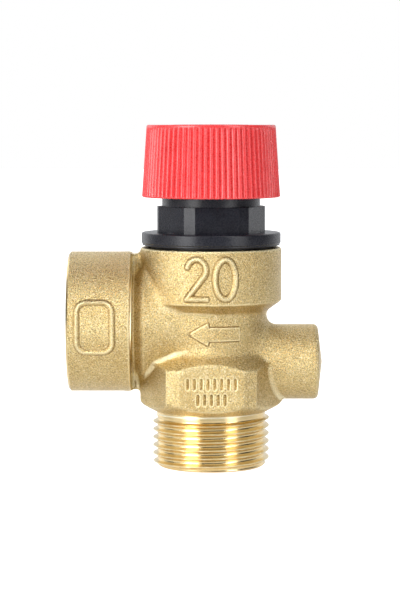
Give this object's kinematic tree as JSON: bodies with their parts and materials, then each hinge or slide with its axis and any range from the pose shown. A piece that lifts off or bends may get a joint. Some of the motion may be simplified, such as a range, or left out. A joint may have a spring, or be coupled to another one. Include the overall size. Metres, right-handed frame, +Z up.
{
  "type": "pressure relief valve",
  "caption": "Diaphragm pressure relief valve with a male inlet, a larger female side outlet, a blind gauge boss, a black bonnet and a red ribbed lifting knob.",
  "frame": {"origin": "centre of the inlet thread's end face, on the valve's axis", "axes": "+Z up along the valve's axis from the inlet to the knob, -X out of the outlet, +X out of the gauge boss, -Y towards the front spanner flat and the flow arrow"},
  "size_m": [0.0573, 0.0318, 0.0771],
  "materials": {
    "cast_brass": "cast and sand-blasted, satin",
    "turned_brass": "turned, bright",
    "steel": "plain",
    "black_nylon": "moulded glass-filled nylon, satin",
    "black_rubber": "moulded rubber, matt",
    "red_plastic": "moulded ABS, semi-gloss"
  },
  "bodies": {
    "body": {"valve_body": "cast_brass", "bonnet": "black_nylon", "bonnet_o_ring": "black_rubber", "slip_ring": "turned_brass", "diaphragm": "black_rubber", "spring": "steel", "upper_spring_washer": "steel", "adjusting_ring": "turned_brass"},
    "stem": {"valve_disc": "turned_brass", "seat_washer": "black_rubber", "washer_retainer": "turned_brass", "washer_screw": "steel", "diaphragm_washer": "steel", "diaphragm_plate": "turned_brass", "stem": "turned_brass", "stem_lock_nut": "turned_brass", "knob_screw": "steel", "knob_screw_washer": "steel"},
    "knob": {"knob": "red_plastic", "knob_cap": "red_plastic"}
  },
  "joints": [
    {"name": "stem_lift", "type": "slide", "parent": "body", "child": "stem", "axis": [0, 0, 1], "range_m": [0, 0.00192], "stiffness_N_per_m": 9000, "deforming": ["spring", "diaphragm"]},
    {"name": "knob_turn", "type": "hinge", "parent": "stem", "child": "knob", "pos_m": [0, 0, 0.0608], "axis": [0, 0, 1], "range_deg": [0, 75]}
  ],
  "couplings": [
    {"joint": "knob_turn", "follows": "stem_lift", "rad_per_m": 681.51}
  ]
}
